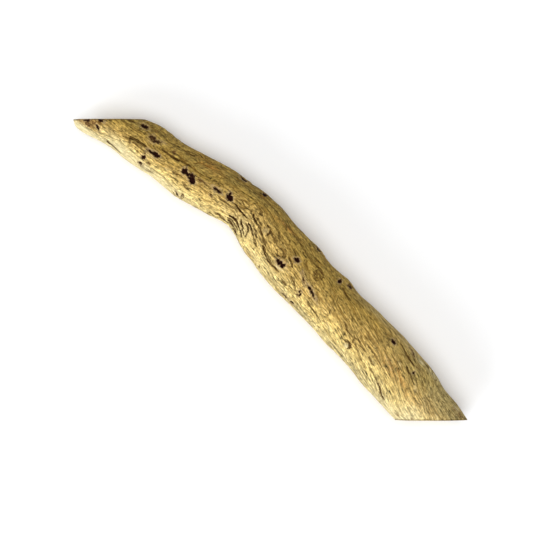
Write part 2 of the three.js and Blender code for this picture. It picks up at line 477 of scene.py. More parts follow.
# %% Where the creases are
# Each row: half width, depth, ink, then the places the line goes through.
CREASES = [
    (0.24, 0.25, 0.7, (-61.7, -3.7), (-61.3, -3.4), (-60.3, -3.15), (-59.0, -3.0),
     (-57.5, -2.7), (-56.0, -2.3)),
    (0.24, 0.22, 0.7, (-61.6, -3.6), (-61.1, -4.2), (-60.8, -4.8), (-60.3, -5.1)),
    (0.2, 0.2, 0.7, (-59.9, -4.2), (-58.5, -3.9), (-57.0, -3.75), (-55.5, -3.8), (-54.3, -4.2)),
    (0.18, 0.15, 0.6, (-57.0, -5.2), (-56.3, -5.6)),
    (0.24, 0.2, 0.7, (-52.8, -7.9), (-51.5, -7.75), (-50.0, -7.4), (-48.3, -7.1)),
    (0.24, 0.22, 0.8, (-51.5, 0.55), (-49.8, 0.7), (-48.0, 0.9), (-46.5, 1.2), (-45.0, 1.6)),
    (0.22, 0.18, 0.7, (-46.2, 5.2), (-44.3, 5.25), (-42.5, 5.9)),
    (0.32, 0.25, 0.95, (-66.0, -9.8), (-64.5, -9.7), (-62.0, -9.6), (-60.3, -9.5)),
    (0.26, 0.15, 0.5, (-66.0, -0.2), (-64.8, 0.4), (-63.4, 1.0)),
    (0.34, 0.22, 0.7, (-39.5, -2.65), (-38.5, -2.9), (-37.6, -3.3), (-36.6, -3.2)),
    (0.2, 0.2, 0.6, (-36.6, -5.4), (-36.1, -6.6)),
    (0.24, 0.2, 0.6, (-39.3, -7.1), (-37.8, -7.4), (-36.2, -7.0)),
    (0.2, 0.35, 1.0, (-23.9, -3.3), (-22.7, -2.85), (-21.6, -2.45), (-20.3, -2.25), (-19.0, -2.35)),
    (0.2, 0.35, 1.0, (-19.0, -2.35), (-17.9, -2.55), (-16.4, -2.85), (-15.3, -3.3)),
    (0.2, 0.15, 0.5, (-44.0, -2.4), (-42.5, -2.1)),
    (0.16, 0.12, 0.35, (-34.5, 2.0), (-33.0, 1.95), (-31.5, 1.9)),
    (0.2, 0.16, 0.65, (-28.0, 1.8), (-27.0, 1.6), (-25.0, 2.0), (-22.0, 2.15)),
    (0.16, 0.28, 0.8, (-24.6, -2.7), (-23.9, -2.5), (-22.9, -2.36), (-21.4, -2.1)),
    (0.18, 0.18, 0.6, (-42.2, 2.6), (-41.0, 3.0)),
    (0.18, 0.15, 0.5, (-37.0, 4.1), (-34.0, 4.2)),
    (0.17, 0.38, 0.95, (-22.4, 3.64), (-21.4, 3.57), (-20.7, 3.29), (-19.6, 3.17),
     (-18.1, 3.07), (-16.7, 2.93)),
    (0.16, 0.12, 0.5, (-22.6, 2.3), (-21.3, 2.5), (-20.0, 2.4)),
    (0.18, 0.45, 1.0, (-17.64, 1.21), (-17.2, 0.79), (-16.8, 0.43), (-16.1, 0.14), (-15.3, -0.29)),
    (0.14, 0.38, 0.85, (-15.3, -0.29), (-14.8, -0.79), (-14.3, -1.2), (-13.7, -1.7)),
    (0.19, 0.5, 1.0, (-21.2, -0.43), (-20.3, -0.2), (-19.3, -0.03), (-18.4, -0.2),
     (-17.0, -0.71), (-15.9, -1.14)),
    (0.18, 0.45, 1.0, (-15.9, -1.14), (-15.1, -1.43), (-14.6, -2.07), (-14.1, -2.57), (-13.7, -2.79)),
    (0.16, 0.42, 0.95, (-21.3, -1.14), (-20.3, -1.0), (-19.3, -0.93), (-18.6, -1.07),
     (-17.9, -1.36), (-16.1, -1.71)),
    (0.16, 0.4, 0.95, (-20.7, -1.6), (-20.1, -1.57), (-19.3, -1.64), (-18.4, -1.83),
     (-17.6, -2.07), (-16.4, -2.5)),
    (0.16, 0.43, 0.9, (-15.7, 1.71), (-15.0, 1.29), (-14.4, 1.0), (-13.9, 0.64),
     (-13.5, 0.29), (-13.36, -0.14)),
    (0.12, 0.31, 0.75, (-13.36, -0.14), (-13.1, -0.71), (-13.0, -1.29), (-12.7, -1.71)),
    (0.16, 0.43, 1.0, (-15.0, 2.07), (-14.3, 1.86), (-13.6, 1.57), (-13.0, 1.29),
     (-12.4, 0.86), (-11.4, 0.21)),
    (0.14, 0.15, 0.55, (-11.3, 0.14), (-10.1, -0.57), (-9.3, -1.14), (-8.1, -1.7)),
    (0.14, 0.25, 0.7, (-12.6, 2.07), (-11.7, 1.93), (-11.1, 1.43), (-10.6, 0.93), (-10.0, 0.5)),
    (0.19, 0.5, 1.0, (-16.0, 5.43), (-15.6, 4.93), (-15.0, 4.43), (-14.4, 4.2),
     (-13.6, 4.14), (-12.9, 3.79)),
    (0.2, 0.3, 0.9, (-12.9, 3.79), (-12.1, 3.64), (-11.4, 3.5), (-10.7, 3.05)),
    (0.22, 0.3, 0.9, (-10.5, 2.9), (-9.7, 2.57), (-9.2, 2.25)),
    (0.16, 0.15, 0.65, (-12.7, 4.64), (-11.4, 4.5)),
    (0.16, 0.14, 0.6, (-14.1, 5.15), (-13.5, 4.85)),
    (0.18, 0.2, 0.7, (-14.9, 7.0), (-13.6, 7.0)),
    (0.16, 0.14, 0.5, (-15.5, 7.8), (-14.0, 7.6)),
    (0.2, 0.2, 0.7, (-10.3, 5.75), (-9.3, 5.5)),
    (0.2, 0.15, 0.6, (-8.6, -2.86), (-8.0, -3.2)),
    (0.22, 0.3, 0.85, (-8.4, 5.3), (-8.1, 4.86), (-8.0, 4.1), (-8.1, 3.3)),
    (0.22, 0.28, 0.9, (-8.4, 1.8), (-7.9, 1.43), (-7.0, 1.14), (-6.3, 0.7)),
    (0.32, 0.5, 0.95, (-6.8, -0.1), (-5.4, -0.8), (-4.2, -1.5), (-3.0, -1.9),
     (-1.6, -2.4), (-0.2, -2.75)),
    (0.22, 0.3, 0.8, (-0.2, -2.75), (1.0, -2.55), (2.6, -2.9)),
    (0.18, 0.2, 0.55, (-8.2, 5.0), (-6.5, 4.3), (-4.5, 3.7), (-3.0, 3.0)),
    (0.26, 0.25, 0.65, (-0.9, 3.2), (0.2, 2.6), (0.9, 1.8)),
    (0.18, 0.18, 0.6, (1.5, 5.6), (2.4, 5.2), (3.2, 4.8)),
    (0.22, 0.2, 0.8, (1.8, 3.0), (3.0, 2.4), (4.0, 2.0), (4.8, 1.2)),
    (0.18, 0.16, 0.65, (6.5, -1.0), (7.8, -1.6), (9.0, -2.3), (10.0, -2.9)),
    (0.18, 0.15, 0.55, (-2.2, 9.3), (2.5, 8.3), (6.0, 7.6), (9.5, 7.2), (12.5, 7.0)),
    (0.16, 0.14, 0.7, (4.8, -3.8), (7.2, -4.3)),
    (0.18, 0.18, 0.65, (21.0, 7.6), (22.0, 7.25), (23.3, 6.8), (25.6, 6.5)),
    (0.14, 0.2, 0.75, (21.7, 9.0), (22.1, 9.6), (23.0, 9.7), (23.3, 9.0)),
    (0.16, 0.15, 0.65, (15.6, -3.4), (18.0, -4.0), (20.2, -4.3), (22.6, -4.9)),
    (0.22, 0.25, 0.7, (28.8, -0.1), (29.4, -0.25), (30.3, -0.6), (31.0, -1.3),
     (32.5, -1.5), (33.6, -1.7)),
    (0.22, 0.25, 0.7, (33.6, -1.7), (34.8, -1.7), (35.0, -2.5), (35.4, -3.0)),
    (0.26, 0.4, 0.9, (34.4, -3.75), (35.2, -4.05), (35.7, -4.7), (35.6, -5.6)),
    (0.24, 0.25, 0.75, (33.0, -4.5), (33.4, -4.0), (34.2, -3.8)),
    (0.17, 0.25, 0.85, (46.5, 7.15), (48.5, 6.6), (50.5, 5.9), (52.0, 5.4), (53.5, 5.05), (55.0, 4.65)),
    (0.18, 0.2, 0.7, (53.0, 2.9), (54.5, 2.3), (56.0, 1.9), (58.4, 0.75)),
    (0.16, 0.3, 1.0, (50.0, -7.1), (51.4, -7.7), (52.4, -8.5), (53.7, -9.1), (55.3, -9.7)),
    (0.18, 0.15, 0.6, (42.2, -2.9), (44.0, -3.6), (45.5, -3.9)),
    (0.24, 0.15, 0.6, (57.6, 7.9), (58.8, 7.2)),
    (0.18, 0.15, 0.55, (29.8, -7.9), (33.5, -8.5), (35.6, -8.7)),
    (0.18, 0.18, 0.5, (35.0, -1.15), (36.5, -1.3), (38.2, -2.0), (40.2, -2.4)),
    (0.16, 0.14, 0.5, (38.0, -0.2), (43.0, -1.0), (46.0, -2.0), (50.5, -3.4)),
    (0.18, 0.18, 0.45, (36.0, -2.7), (37.0, -3.2), (38.5, -3.9), (40.2, -5.0), (41.5, -5.5)),
    (0.16, 0.14, 0.5, (44.5, -5.2), (47.5, -6.0), (50.0, -7.2)),
    (0.12, 0.12, 0.35, (60.0, 7.5), (62.0, 6.3), (65.8, 4.8), (70.0, 3.5)),
]
runs = [(row[:3], [on_skin(*p) for p in row[3:]]) for row in CREASES]
print(f"{len(runs)} creases on the side that shows")

# %% [markdown]
# The folds run on down the flank inside the bend, below what the camera sees. There a place is given
# along X and Z, and a level ray along Y finds it.

# %% Where the flank's folds are
# Each row as above, with places along X and Z.
FLANK_FOLDS = [
    (0.13, 0.34, 0.9, (-26.5, 11.2), (-24.5, 10.5), (-22.5, 10.2), (-20.4, 10.5),
     (-18.0, 9.9), (-15.5, 8.8)),
    (0.12, 0.32, 0.85, (-24.0, 8.9), (-22.0, 8.3), (-20.0, 8.6), (-17.6, 8.1),
     (-15.2, 6.9), (-13.4, 6.2)),
    (0.11, 0.28, 0.7, (-22.6, 6.7), (-20.6, 6.2), (-18.6, 6.6), (-16.6, 5.9), (-15.4, 5.0)),
    (0.1, 0.22, 0.6, (-20.8, 4.6), (-19.0, 4.4), (-17.4, 4.8)),
    (0.12, 0.26, 0.7, (-29.4, 9.6), (-27.6, 8.9), (-25.8, 9.0)),
    (0.11, 0.22, 0.65, (-14.4, 10.0), (-12.8, 8.9), (-11.6, 7.4)),
    (0.11, 0.2, 0.6, (-12.2, 5.2), (-10.4, 4.6), (-9.2, 4.7)),
]


def on_flank(x, z):
    """Point and normal of the solid at a place as seen along Y."""
    return tree.ray_cast(Vector((x, -FRAME_WIDTH, z)), Vector((0, 1, 0)))[:2]


runs += [(row[:3], [on_flank(*p) for p in row[3:]]) for row in FLANK_FOLDS]
print(f"{len(FLANK_FOLDS)} more folds on the flank")

# %% [markdown]
# A crease is a sharp valley with a low lip along each side. It tapers at its ends and its width is
# uneven. Its field is worked out from each point's distance to the line, so that the colours can draw
# its edge finer than the mesh is. A line on a slope is widened, but one on a steep flank isn't.

# %% Helpers for lines on the skin
CREASE_REACH = 1.2
JITTER = 0.13
UNEVEN_WAVES = 0.7

crease = np.zeros(len(place))
crease_ink = np.zeros(len(place))
jitter = place + JITTER * np.stack([np.roll(ragged, 1), ragged, ragged], axis=1)
uneven = skin_noise(UNEVEN_WAVES, (0, 9, 0))


def distance_to_line(points, ends):
    """For many points: distance in mm to a run of straight stretches, and share of the way along it."""
    best = np.full(len(points), np.inf)
    share = np.zeros(len(points))
    for i, (start, end) in enumerate(zip(ends[:-1], ends[1:])):
        step = end - start
        t = ((points - start) @ step / (step @ step)).clip(0, 1)
        gap = np.linalg.norm(points - start - t[:, None] * step, axis=1)
        share = np.where(gap < best, (i + t) / (len(ends) - 1), share)
        best = np.minimum(best, gap)
    return best, share


def mark_line(gap, half_width, shade):
    """Notes a line in the crease field: 0.5 at its edges, more along its middle."""
    closeness = (0.5 + (half_width - gap) / (2 * CREASE_REACH)).clip(0, 1)
    crease_ink[:] = np.where(closeness > crease, shade, crease_ink)
    crease[:] = np.maximum(crease, closeness)


print(f"lines wander by up to {np.abs(jitter - place).max():.2f} mm")

# %% Press the creases into the skin
STEEP = 0.25
CREASE_SLANT = 0.6
TAPER = 0.4
VALLEY_REACH = 1.5
LIP_SHARE, LIP_PLACE, LIP_REACH = 0.35, 3.2, 1.8
INK_WIDTH = 1.08

for (half_width, depth, shade), run in runs:
    points, normals = zip(*run)
    mean_slant = sum(n.z for n in normals) / len(normals)
    if mean_slant > STEEP:
        half_width /= max(mean_slant, CREASE_SLANT)
    gap, share = distance_to_line(jitter, np.array(points))
    taper = TAPER + (1 - TAPER) * np.sqrt(np.sin(math.pi * share).clip(0, 1))
    width = half_width * taper * (1.1 + 0.4 * uneven)
    height -= depth * bell(gap, VALLEY_REACH * half_width) * width / half_width
    height += LIP_SHARE * depth * bell(gap - LIP_PLACE * half_width, LIP_REACH * half_width)
    mark_line(gap, INK_WIDTH * width, shade)
print(f"{len(runs)} creases; {(crease > 0.5).sum()} points lie in one")

# %% [markdown]
# ## Swells and rings
# A few places swell instead, such as a pale blob beside the folds, a knot on the thick half, a healed
# side root and a flake of skin. They are low round hills. Healed side roots also show as rings, which
# are drawn like creases, from the distance to a ragged circle.

# %% Raise the swells
# Each row: x, y, radius, height.
SWELLS = [
    (-9.4, 3.9, 1.3, 0.4),
    (34.6, -4.9, 0.9, 0.5),
    (12.6, 5.1, 1.7, 0.25),
    (11.9, -3.2, 0.6, 0.2),
    (-57.5, -3.4, 1.2, 0.2),
    (-38.0, -6.6, 1.2, 0.5),
]
for x, y, radius, rise in SWELLS:
    point = np.array(on_skin(x, y)[0])
    height += rise * np.exp(-((place - point) ** 2).sum(1) / radius**2)
print(f"{len(SWELLS)} swells raised")

# %% Draw the rings
# Each row: x, y, radius, half width, ink.
RINGS_SEEN = [
    (12.7, 5.1, 1.5, 0.22, 0.6),
    (12.7, 4.9, 0.6, 0.2, 0.55),
    (-0.9, 2.3, 1.35, 0.24, 0.4),
]
RING_RAGGEDNESS = 0.5
RING_DEPTH = 0.15

for x, y, radius, half_width, shade in RINGS_SEEN:
    from_middle = np.linalg.norm(jitter - np.array(on_skin(x, y)[0]), axis=1)
    gap = np.abs(from_middle - radius * (1 + RING_RAGGEDNESS * ragged))
    height -= RING_DEPTH * bell(gap, half_width)
    mark_line(gap, half_width, shade)
print(f"skin now stands {height.min():.2f} to {height.max():.2f} mm off the smooth tube")

# %% [markdown]
# ## Stains and pale places
# Rusty stains lie here and there, the tip is brownish, and other places are pale, some of them a painted
# highlight on the lit side. They could be painted on an image, but soft masks on the points need no
# unwrapping, and only the colour reads them.

# %% Stain the skin
# Each row: x, y, reach along, reach across, strength.
STAINS = [
    (-75.5, -9.5, 4.0, 3.0, 0.45),
    (-37.5, 7.3, 5.0, 1.6, 0.6),
    (49.5, -0.3, 4.0, 2.2, 0.65),
    (54.5, -1.8, 4.0, 1.8, 0.5),
    (60.0, -4.0, 5.0, 2.0, 0.35),
    (-8.5, -5.0, 1.6, 0.7, 0.5),
    (-5.0, 9.4, 6.0, 0.8, 0.5),
    (-0.8, 2.2, 1.2, 0.9, 0.4),
    # This row darkens the far corner of the thick tip.
    (76.5, 3.2, 3.0, 1.6, 0.8),
]
# Some rows are painted highlights as well as paler skin: the broad patch among the folds of the bend and
# the long one on the lit flank of the thin end.
PALE_PATCHES = [
    (34.6, -4.9, 0.9, 0.8, 0.9),
    (-9.3, 3.9, 1.1, 1.0, 0.4),
    (-15.5, 0.3, 6.0, 3.0, 0.35),
    (-3.0, -3.6, 7.0, 1.8, 0.2),
    (1.6, -1.7, 1.6, 0.45, 0.8),
    (55.6, 7.3, 1.2, 0.6, 0.7),
    (62.0, 6.9, 2.5, 0.8, 0.5),
    (65.0, -7.5, 4.5, 3.0, 0.5),
    (74.0, 4.0, 1.2, 0.5, 0.6),
    (-75.5, -12.0, 4.0, 1.2, 0.6),
    (-62.0, -7.5, 7.0, 1.6, 0.5),
]


def patches_on_skin(rows):
    """Soft patches, each strongest at its middle."""
    field = np.zeros(len(place))
    for x, y, reach_along, reach_across, strength in rows:
        away = (place - np.array(on_skin(x, y)[0])) / (reach_along, reach_across, reach_along)
        field = np.maximum(field, strength * np.exp(-(away * away).sum(1)))
    return field


stain = patches_on_skin(STAINS)
pale = patches_on_skin(PALE_PATCHES)
# The far side past the middle and the thick end are paler as a whole, and the near flanks of both ends,
# which face the low light, get a painted highlight.
pale += 0.25 * ease(0.6, 0.95, faces_y) * ease(15, 40, at_x) * ease(68, 54, at_x)
pale += 0.2 * ease(58, 68, at_x)
pale += (0.75 * ease(-28, -46, at_x) + 0.6 * ease(46, 58, at_x)) * ease(-0.5, -0.95, faces_y)
print(f"{(stain > 0.2).sum()} stained points and {(pale > 0.2).sum()} pale ones")

# %% [markdown]
# ## Painted light and shade
# The root's colour carries painted light and shade. A field runs from 0 on the side towards the low
# light, at -Y, where a pale painted highlight lies, to 1 on the far side, where an ochre painted shade
# lies. Each line below shifts it over one stretch of the root. One noise could stand in for all of them,
# but then the tones wouldn't lie where they do on this root. The skin is also browned where the knife
# met it.

# %% Paint light and shade into the tone
PAINTED_SHADE_CAP = 0.88
FLANK_TONE = 0.42
KNIFE_LINE = 0.3

# Painted shade grows from the lit side to the far side. It is weaker towards the thick end and a little
# lighter at the thin one.
weather = (0.5 + 0.5 * faces_y) * (1 - 0.4 * ease(15, 65, at_x)) - 0.08 * ease(-35, -60, at_x)
# The painted ochre shade is a little stronger on the top and far side past the bend, and much stronger
# on the thin half.
weather += 0.06 * ease(-15, 0, at_x) * ease(50, 30, at_x) * ease(-0.3, 0.1, faces_y)
weather += 0.26 * ease(-26, -38, at_x) * ease(-0.35, 0.2, faces_y)
# The painted shade is a little lighter on the far shoulder just past the bend.
shoulder = ease(-0.1, 0.2, faces_y) * ease(0.75, 0.45, faces_y)
weather -= 0.1 * ease(-20, -12, at_x) * ease(4, -4, at_x) * shoulder
weather = np.minimum(weather, PAINTED_SHADE_CAP)
# The painted shade is darkest on the outside of the bend and on the far side of the thick end.
weather += 0.12 * ease(-34, -26, at_x) * ease(-4, -14, at_x) * ease(0.25, 0.65, faces_y)
weather += 0.3 * ease(50, 68, at_x) * ease(0.1, 0.8, faces_y)
# What faces down gets neither the painted highlight nor the painted shade, and the far side of the thick
# half has an olive cast.
flank = ease(0.2, -0.6, faces_z)
weather += 0.6 * flank * (FLANK_TONE - weather)
pale *= 1 - 0.9 * flank
olive = 0.55 * ease(36, 58, at_x) * ease(0.05, 0.6, faces_y) * (1 - flank)
knife = np.array(CUT_NORMAL)
to_cut = np.minimum(place @ knife - thin_cut, thick_cut - place @ knife)
mark_line(to_cut + KNIFE_LINE * ragged, KNIFE_LINE, 0.4)
print(f"{(weather > 0.7).sum()} points on the ochre side, {(olive > 0.2).sum()} olive ones")

# %% [markdown]
# ## Move the skin
# Each point moves along its own normal by its height. A displacement node could do it, but real geometry
# also shows in the outline. The rings at the two ends must stay in the cut planes, so there each point
# slides back along the root, and the rings just behind slide a little less.

# %% Move the points
SLIDE_SHARE = 0.03
END_SHARE = 1e-4

moved = place + facing * height[:, None]
forward = np.concatenate([ahead, np.zeros((len(ahead), 1))], axis=1)
drift = (moved - place) @ knife
hold = 1 - (np.minimum(tube_share, 1 - tube_share) / SLIDE_SHARE).clip(0, 1)
moved -= forward * (hold * drift / (forward @ knife))[:, None]
moved[:, 2] = np.maximum(moved[:, 2], 0)
plane = np.where(tube_share < 0.5, thin_cut + CUT_MARGIN, thick_cut - CUT_MARGIN)
at_end = (tube_share < END_SHARE) | (tube_share > 1 - END_SHARE)
slide = (moved[at_end] @ knife - plane[at_end]) / (forward[at_end] @ knife)
moved[at_end] -= forward[at_end] * slide[:, None]
for vert, co in zip(skin.verts, moved):
    vert.co = co
print("moved skin reaches", moved.min(0).round(2), "to", moved.max(0).round(2), "mm")

# %% Keep the fields for the colours
FIELDS = {
    "folds": folds,
    "pleats": pleats,
    "gather": gather,
    "scar": scar,
    "ink": ink,
    "crease": crease,
    "crease_ink": crease_ink,
    "stain": stain,
    "pale": pale,
    # The next field holds the painted light and shade.
    "weather": weather,
    "olive": olive,
}

for name, values in FIELDS.items():
    layer = skin.verts.layers.float.new(name)
    for vert, value in zip(skin.verts, values):
        vert[layer] = value
grain_layer = skin.verts.layers.float_vector.new("grain")
for vert, value in zip(skin.verts, wavy):
    vert[grain_layer] = value
print("fields kept:", ", ".join(FIELDS), "and grain")

# %% [markdown]
# ## The cut ends
# Each end is closed with grid_fill, which lays a net of four-sided faces inside the ring. One large
# face or a fan would be simpler, but neither could sink and crack. The tool needs two opposite quarters
# of the ring, so the ring's points are put in order first, from half a quarter past the lowest.

# %% Close the ends
CUT_MATERIAL = 1
QUARTER = AROUND // 4


def in_order(rim):
    """The points of a closed ring of edges, one after the other."""
    loop = [rim[0].verts[0]]
    used = set()
    while len(loop) < len(rim):
        step = next(e for e in loop[-1].link_edges if e.is_boundary and e not in used)
        used.add(step)
        loop.append(step.other_vert(loop[-1]))
    return loop


share_layer = skin.verts.layers.float.new("rim_share")
spoke_layer = skin.verts.layers.float_vector.new("spoke")
cuts = []
for at_thick_end in (False, True):
    rim = [e for e in skin.edges if e.is_boundary and (e.verts[0].co.x > 0) == at_thick_end]
    loop = in_order(rim)
    order = {v: i for i, v in enumerate(loop)}
    start = order[min(loop, key=lambda v: v.co.z)] + QUARTER // 2
    opposite = []
    for edge in rim:
        a, b = ((order[v] - start) % AROUND for v in edge.verts)
        # Only the edge that joins the last point to the first has ends that aren't next in order.
        first = min(a, b) if abs(a - b) == 1 else AROUND - 1
        if (first // QUARTER) % 2 == 0:
            opposite.append(edge)
    faces = bmesh.ops.grid_fill(skin, edges=opposite)["faces"]
    for face in faces:
        face.material_index = CUT_MATERIAL
    cuts.append((loop, faces))
    print("closed an end with", len(faces), "faces")

# %% [markdown]
# A cut face doesn't dry flat. The soft middle sinks, a groove shows where wood and bark meet, and
# cracks run out from the middle. Each point of the net is given its share of the way from the middle to
# the rim, and its direction, and sinks by a depth worked out from the two.

# %% Dry the cut faces
CUT_SIDE = Vector((math.cos(CUT_ANGLE), math.sin(CUT_ANGLE), 0))
DISH_DEPTH = 0.45
GROOVE_SHARE, GROOVE_WIDTH, GROOVE_DEPTH = 0.72, 0.035, 0.1
CRACK_WAVES, CRACK_SHARE, CRACK_WIDTH, CRACK_DEPTH = 2.2, 0.55, 0.07, 0.6
MEAL_WAVES, RAY_WAVES, ROUGH_DEPTH = 1.6, 9, 0.07
RIM_HOLD = 8

for (loop, faces), inward in zip(cuts, (CUT_NORMAL, -CUT_NORMAL)):
    middle = sum((v.co for v in loop), Vector()) / len(loop)
    spokes = [v.co - middle for v in loop]
    rim_polar = sorted((math.atan2(s.z, s.dot(CUT_SIDE)), s.length) for s in spokes)
    rim_turn, rim_reach = zip(*rim_polar)
    for vert in {v for f in faces for v in f.verts}:
        from_middle = vert.co - middle
        turn = math.atan2(from_middle.z, from_middle.dot(CUT_SIDE))
        rim_share = from_middle.length / np.interp(turn, rim_turn, rim_reach, period=2 * math.pi)
        spoke = Vector((math.cos(turn), math.sin(turn), 0))
        crack = max(0, 1 - abs(noise.noise(spoke * CRACK_WAVES + middle)) / CRACK_WIDTH)
        crack *= max(0, CRACK_SHARE - rim_share)
        groove = bell(rim_share - GROOVE_SHARE, GROOVE_WIDTH)
        ray = noise.noise(spoke * RAY_WAVES + Vector((0, 0, rim_share)))
        rough = noise.noise(vert.co * MEAL_WAVES) + 0.5 * ray
        sunk = DISH_DEPTH * max(0, 1 - rim_share * rim_share) + GROOVE_DEPTH * groove
        sunk += CRACK_DEPTH * crack + ROUGH_DEPTH * rough
        vert.co += inward * sunk * min(1, RIM_HOLD * (1 - rim_share))
        vert[share_layer] = rim_share
        vert[spoke_layer] = spoke + Vector((0, 0, rim_share))
    print("dried a cut face around", [round(c, 1) for c in middle])

# %% [markdown]
# The knife leaves a crisp rim, softened by a small bevel. Then the mesh is scaled to metres and becomes
# an object, which stays at the origin.

# %% Soften the rims
RIM_BEVEL = 0.25

rims = [e for e in skin.edges if len({f.material_index for f in e.link_faces}) > 1]
print(f"{len(rims)} rim edges; open edges left: {sum(e.is_boundary for e in skin.edges)}")
bmesh.ops.bevel(
    skin,
    geom=rims,
    offset=RIM_BEVEL,
    offset_type="OFFSET",
    affect="EDGES",
    segments=2,
    profile=0.5,
    material=-1,
)
bmesh.ops.recalc_face_normals(skin, faces=skin.faces)

# %% Make the mesh object
bmesh.ops.scale(skin, vec=(MM, MM, MM), verts=skin.verts)
for face in skin.faces:
    face.smooth = True
mesh = bpy.data.meshes.new("dried_root")
skin.to_mesh(mesh)
skin.free()
solid.free()
root = bpy.data.objects.new("dried_root", mesh)
bpy.context.scene.collection.objects.link(root)
triangles = sum(len(p.vertices) - 2 for p in mesh.polygons)
print(f"dried root of {len(mesh.vertices)} points and {triangles} triangles")

# %% [markdown]
# ## Shader maths as expressions
# A material is a web of nodes. They could be placed and linked one by one, but sums and products are
# easier to read as plain Python. One small class wraps an output of a node, so that its operators add
# Math nodes, and one method adds any other node.


# %% The wire class
class Wire:
    """An output of a shader node, with operators that add Math nodes."""

    def __init__(self, nodes, socket=None):
        self.nodes = nodes
        self.socket = socket

    def make(self, kind, settings, inputs, output=0):
        """Adds a node: its settings first, then values or wires for its inputs."""
        node = self.nodes.nodes.new(kind)
        for name, value in settings.items():
            if name == "stops":
                fill_ramp(node.color_ramp, value)
            else:
                setattr(node, name, value)
        for key, value in inputs.items():
            if isinstance(value, Wire):
                self.nodes.links.new(value.socket, node.inputs[key])
            else:
                node.inputs[key].default_value = value
        return Wire(self.nodes, node.outputs[output])

    def math(self, operation, *values):
        """Adds a Math node."""
        return self.make("ShaderNodeMath", {"operation": operation}, dict(enumerate(values)))

    def __add__(self, other):
        return self.math("ADD", self, other)

    def __radd__(self, other):
        return self.math("ADD", other, self)

    def __sub__(self, other):
        return self.math("SUBTRACT", self, other)

    def __rsub__(self, other):
        return self.math("SUBTRACT", other, self)

    def __mul__(self, other):
        return self.math("MULTIPLY", self, other)

    def __rmul__(self, other):
        return self.math("MULTIPLY", other, self)


print("wires can be added, subtracted and multiplied, with a number on either side")


# %% Finishes and colours
def fill_ramp(ramp, stops):
    """Gives a colour ramp its stops, each a position and a colour."""
    while len(ramp.elements) < len(stops):
        ramp.elements.new(0.5)
    for element, (position, colour) in zip(ramp.elements, stops):
        element.position = position
        element.color = colour


def new_finish(name):
    """A material, its plain shader, and a wire to start its expressions from."""
    material = bpy.data.materials.new(name)
    material.use_nodes = True
    shader = material.node_tree.nodes["Principled BSDF"]
    return material, shader, Wire(material.node_tree)


def linear(channel):
    """One channel of a colour on screen, from 0 to 255, as linear light."""
    share = channel / 255
    return share / 12.92 if share <= 0.04045 else ((share + 0.055) / 1.055) ** 2.4


def srgb(red, green, blue):
    """A colour given as 0 to 255 on screen, as the linear colour that nodes use."""
    return (linear(red), linear(green), linear(blue), 1)


print("mid grey on screen is", round(srgb(128, 128, 128)[0], 3), "in linear light")

# %% Masks, noise and relief
BUMP_DISTANCE = 0.0004


def blend(factor, first, second):
    """Mixes two colours by a wire."""
    settings = {"data_type": "RGBA", "clamp_factor": True}
    return factor.make("ShaderNodeMix", settings, {0: factor, 6: first, 7: second}, output=2)


def fade(value, low, high):
    """0 at low, 1 at high, with a smooth step between. High may be the smaller."""
    settings = {"interpolation_type": "SMOOTHSTEP"}
    inputs = {"Value": value, "From Min": low, "From Max": high}
    return value.make("ShaderNodeMapRange", settings, inputs)


def thin_line(field, edge, middle):
    """1 along the line where a signed field crosses zero, 0 beside it."""
    return fade(field.math("ABSOLUTE", field), edge, middle)


def attribute(start, name, output="Fac"):
    """A named attribute of the mesh."""
    return start.make("ShaderNodeAttribute", {"attribute_name": name}, {}, output=output)


def stretched_noise(vector, waves, detail, roughness=0.55):
    """Noise along a vector, with its own number of waves each way per unit of that vector."""
    scaled = vector.make("ShaderNodeVectorMath", {"operation": "MULTIPLY"}, {0: vector, 1: waves})
    inputs = {"Vector": scaled, "Scale": 1.0, "Detail": detail, "Roughness": roughness}
    return vector.make("ShaderNodeTexNoise", {}, inputs)


def raise_relief(shader, relief, strength):
    """Leads a relief through a Bump node to a shader's Normal."""
    inputs = {"Strength": strength, "Distance": BUMP_DISTANCE, "Height": relief}
    bump = relief.make("ShaderNodeBump", {}, inputs)
    bump.nodes.links.new(bump.socket, shader.inputs["Normal"])


print("shader helpers ready")

# %% [markdown]
# ## The peeled skin
# Peeled and dried, the root is pale tan, with fine fibres all along it, rusty stains, brown furrows,
# black scars with pale rims, and a matt surface. Its colour also carries painted light and shade:
# creamier on the near side, towards the low light, as a painted highlight, and ochre on the far side as
# painted shade. A picture of a real root could be laid over it, but noise on the grain holds at any
# distance and has no seam. A ramp turns the painted light and shade, with random patches and streaks of
# tone, into colours, and streaks, stains and pale places are mixed over it.

# %% Peeled skin tones, with painted light and shade
# The ramp runs from the pale painted highlight of the lit side at 0 to the ochre painted shade of the
# far side at 1.
LIT_TO_SHADE_TONES = [
    (0.0, srgb(206, 188, 134)),
    (0.16, srgb(224, 197, 125)),
    (0.33, srgb(216, 184, 110)),
    (0.5, srgb(201, 168, 96)),
    (0.78, srgb(174, 144, 72)),
    (0.9, srgb(164, 139, 73)),
    (1.0, srgb(144, 121, 64)),
]
OCHRE = srgb(166, 130, 56)
RUST = srgb(160, 98, 38)
PALE = srgb(222, 206, 158)
OLIVE = srgb(166, 152, 94)

skin_finish, skin_shader, wire = new_finish("peeled_skin")
grain_mm = attribute(wire, "grain", "Vector")
grit = stretched_noise(grain_mm, (0.9, 1.9, 1.9), 2, 0.7)
streaks = stretched_noise(grain_mm, (0.16, 0.8, 0.8), 4)
patches = stretched_noise(grain_mm, (0.05, 0.14, 0.14), 3)

